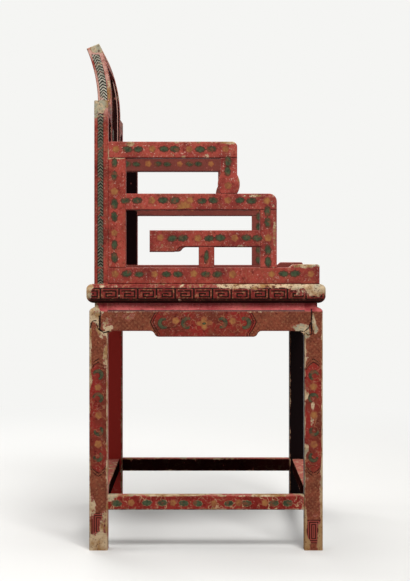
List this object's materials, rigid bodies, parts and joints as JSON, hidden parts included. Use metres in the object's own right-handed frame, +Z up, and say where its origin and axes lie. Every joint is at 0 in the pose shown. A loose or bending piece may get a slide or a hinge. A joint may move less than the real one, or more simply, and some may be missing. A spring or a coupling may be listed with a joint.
{
  "type": "lacquered armchair",
  "caption": "Red lacquered armchair with stepped open-fret arms, a back that leans at its crest, a waisted seat frame with shaped aprons, straight legs and a low box stretcher.",
  "frame": {"origin": "on the floor, under the middle of the seat", "axes": "+Z up, the sitter faces -Y, +X towards the sitter's left hand"},
  "size_m": [0.6, 0.4625, 0.9784],
  "materials": {
    "red_lacquer": "polished red lacquer, painted and worn",
    "bare_wood": "bare planed softwood"
  },
  "bodies": {
    "root": {"apron_front": "red_lacquer", "apron_left": "red_lacquer", "apron_rear": "red_lacquer", "apron_right": "red_lacquer", "arm_free_rail_left": "red_lacquer", "arm_free_rail_right": "red_lacquer", "arm_lower_post_left": "red_lacquer", "arm_lower_post_right": "red_lacquer", "arm_middle_rail_left": "red_lacquer", "arm_middle_rail_right": "red_lacquer", "arm_rear_upright_left": "red_lacquer", "arm_rear_upright_right": "red_lacquer", "arm_sill_left": "red_lacquer", "arm_sill_right": "red_lacquer", "arm_strut_left": "red_lacquer", "arm_strut_right": "red_lacquer", "arm_top_rail_left": "red_lacquer", "arm_top_rail_right": "red_lacquer", "arm_upper_post_left": "red_lacquer", "arm_upper_post_right": "red_lacquer", "back_post_left": "red_lacquer", "back_post_right": "red_lacquer", "back_side_rail_left": "red_lacquer", "back_side_rail_right": "red_lacquer", "back_sill": "red_lacquer", "back_splat": "red_lacquer", "back_stile_left": "red_lacquer", "back_stile_right": "red_lacquer", "crest_rail": "red_lacquer", "leg_front_left": "red_lacquer", "leg_front_right": "red_lacquer", "leg_rear_left": "red_lacquer", "leg_rear_right": "red_lacquer", "seat_batten_left": "bare_wood", "seat_batten_right": "bare_wood", "seat_panel": "red_lacquer", "seat_rail_front": "red_lacquer", "seat_rail_left": "red_lacquer", "seat_rail_rear": "red_lacquer", "seat_rail_right": "red_lacquer", "shoulder_rail_left": "red_lacquer", "shoulder_rail_right": "red_lacquer", "slip_tenons": "bare_wood", "stretcher_front": "red_lacquer", "stretcher_left": "red_lacquer", "stretcher_rear": "red_lacquer", "stretcher_right": "red_lacquer", "waist_front": "red_lacquer", "waist_left": "red_lacquer", "waist_rear": "red_lacquer", "waist_right": "red_lacquer"}
  },
  "joints": []
}
